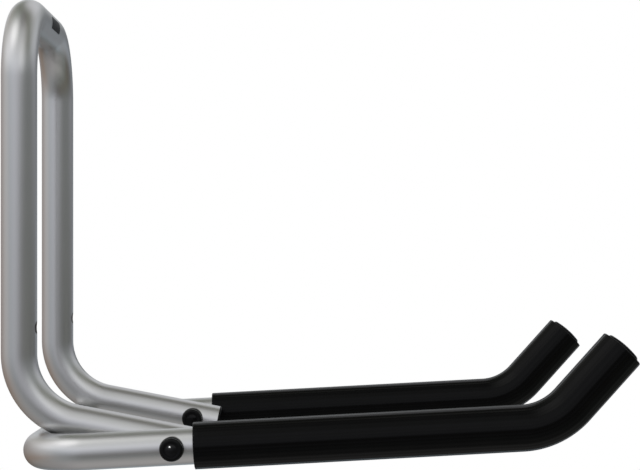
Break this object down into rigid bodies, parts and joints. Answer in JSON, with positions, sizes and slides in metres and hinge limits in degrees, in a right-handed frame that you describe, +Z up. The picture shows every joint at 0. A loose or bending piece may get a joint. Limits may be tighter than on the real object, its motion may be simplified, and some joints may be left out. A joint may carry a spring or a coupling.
{
  "type": "folding bicycle wall rack",
  "caption": "Wall-mounted bicycle rack of bent tube: a frame screwed to the wall carries two padded arms that fold up flat against it.",
  "frame": {"origin": "on the wall, midway between the two leg screws", "axes": "+X points away from the wall along the lowered arms, +Y to the right as seen by a person who faces the wall, +Z up"},
  "size_m": [0.4913, 0.3116, 0.3722],
  "materials": {
    "silver_tube": "satin metallic silver",
    "sleeve": "satin",
    "plug": "satin",
    "cap": "semi-gloss",
    "nylon": "matte",
    "zinc_steel": "zinc plated",
    "label": "printed film"
  },
  "bodies": {
    "wall_side": {"wall_frame": "silver_tube", "leg_plug_right": "plug", "leg_plug_left": "plug", "pivot_bolt_right": "zinc_steel", "pivot_bolt_left": "zinc_steel", "pivot_spacer_right": "nylon", "pivot_spacer_left": "nylon", "inner_washer_right": "nylon", "inner_washer_left": "nylon", "lock_nut_right": "zinc_steel", "lock_nut_left": "zinc_steel", "nut_cap_right": "cap", "nut_cap_left": "cap", "label": "label"},
    "swing_arms": {"arm_frame": "silver_tube", "sleeve_right": "sleeve", "sleeve_left": "sleeve", "tip_plug_right": "plug", "tip_plug_left": "plug", "outer_washer_right": "nylon", "outer_washer_left": "nylon", "bolt_cap_right": "cap", "bolt_cap_left": "cap"}
  },
  "joints": [
    {"name": "arm_fold", "type": "hinge", "parent": "wall_side", "child": "swing_arms", "pos_m": [0.13654, 0, -0.08916], "axis": [0, -1, 0], "range_deg": [0, 98.5]}
  ]
}
